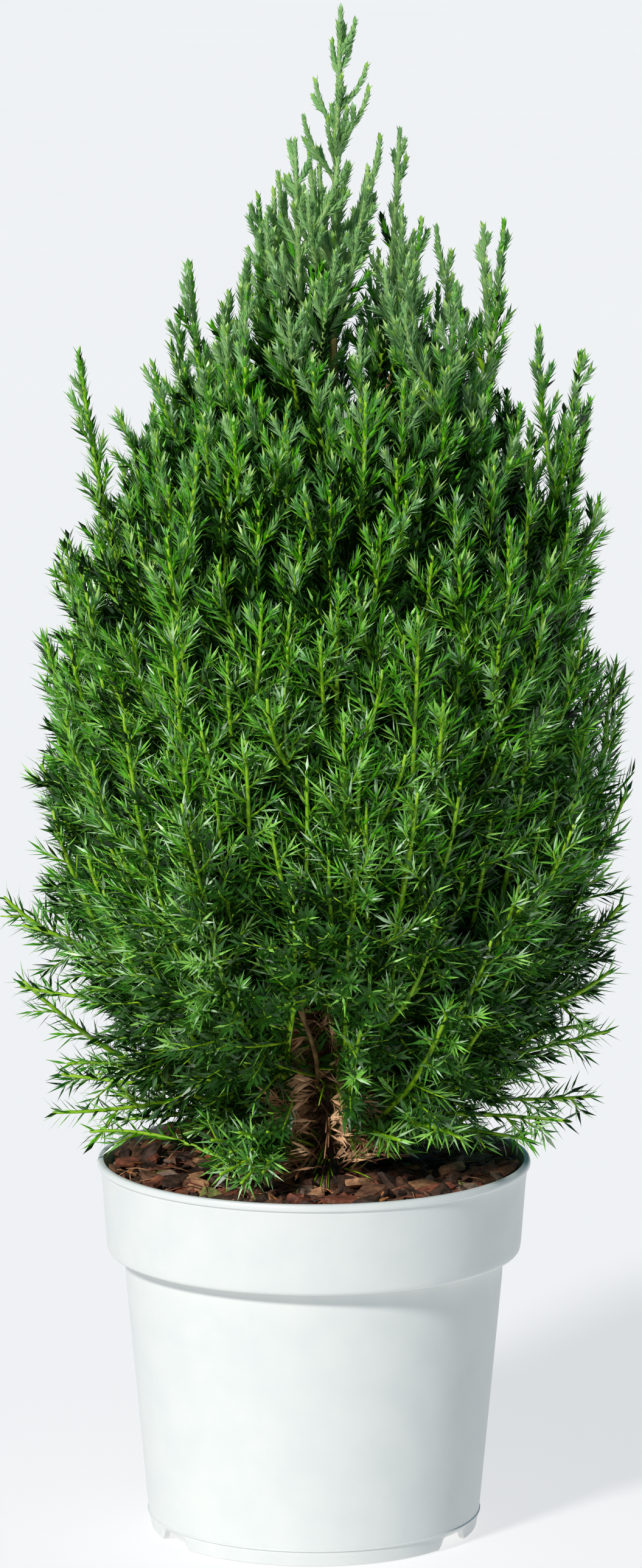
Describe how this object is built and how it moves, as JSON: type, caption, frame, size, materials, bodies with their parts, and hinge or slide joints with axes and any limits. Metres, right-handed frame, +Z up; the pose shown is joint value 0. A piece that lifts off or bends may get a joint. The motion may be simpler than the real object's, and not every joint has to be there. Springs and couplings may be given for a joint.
{
  "type": "potted chinese juniper",
  "caption": "Young upright Chinese juniper, a dense cone of feathery ascending leaders on a short trunk, in a round nursery pot topped with bark mulch.",
  "frame": {"origin": "centre of the whole plant's footprint, on the plane that the pot stands on; the pot's axis is the Z axis", "axes": "+Z up, the longest extent; the pictured front faces -Y, and +X is the viewer's right"},
  "size_m": [0.2759, 0.2708, 0.669],
  "materials": {
    "pot_plastic": "satin grey-white",
    "potting_soil": "dark peat and bark",
    "bark_chips": "rough reddish-brown bark",
    "juniper_bark": "rough brown bark",
    "needles_top": "blue-green needles",
    "needles_body": "bright green needles"
  },
  "bodies": {
    "root": {"bark_mulch": "bark_chips", "bough_mid_0": "juniper_bark", "bough_mid_1": "juniper_bark", "bough_mid_2": "juniper_bark", "bough_mid_3": "juniper_bark", "bough_mid_4": "juniper_bark", "bough_mid_5": "juniper_bark", "bough_mid_6": "juniper_bark", "bough_mid_7": "juniper_bark", "bough_mid_8": "juniper_bark", "bough_tall_0": "juniper_bark", "bough_tall_1": "juniper_bark", "bough_tall_2": "juniper_bark", "bough_tall_3": "juniper_bark", "bough_tall_4": "juniper_bark", "bough_tall_5": "juniper_bark", "bough_tall_6": "juniper_bark", "bough_tall_7": "juniper_bark", "crown_0": "needles_top", "crown_1": "needles_top", "crown_2": "needles_top", "crown_3": "needles_top", "crown_4": "needles_top", "leader": "needles_top", "low_0": "needles_body", "low_1": "needles_body", "low_2": "needles_body", "low_3": "needles_body", "low_4": "needles_body", "low_5": "needles_body", "low_6": "needles_body", "low_7": "needles_body", "mid_0": "needles_body", "mid_1": "needles_body", "mid_2": "needles_body", "mid_3": "needles_body", "mid_4": "needles_body", "mid_5": "needles_body", "mid_6": "needles_body", "mid_7": "needles_body", "mid_8": "needles_body", "pot": "pot_plastic", "root_ball": "potting_soil", "skirt_0": "needles_body", "skirt_1": "needles_body", "skirt_2": "needles_body", "skirt_3": "needles_body", "skirt_4": "needles_body", "skirt_5": "needles_body", "skirt_6": "needles_body", "tall_0": "needles_top", "tall_1": "needles_top", "tall_2": "needles_top", "tall_3": "needles_top", "tall_4": "needles_top", "tall_5": "needles_top", "tall_6": "needles_top", "tall_7": "needles_top", "trunk": "juniper_bark"}
  },
  "joints": []
}
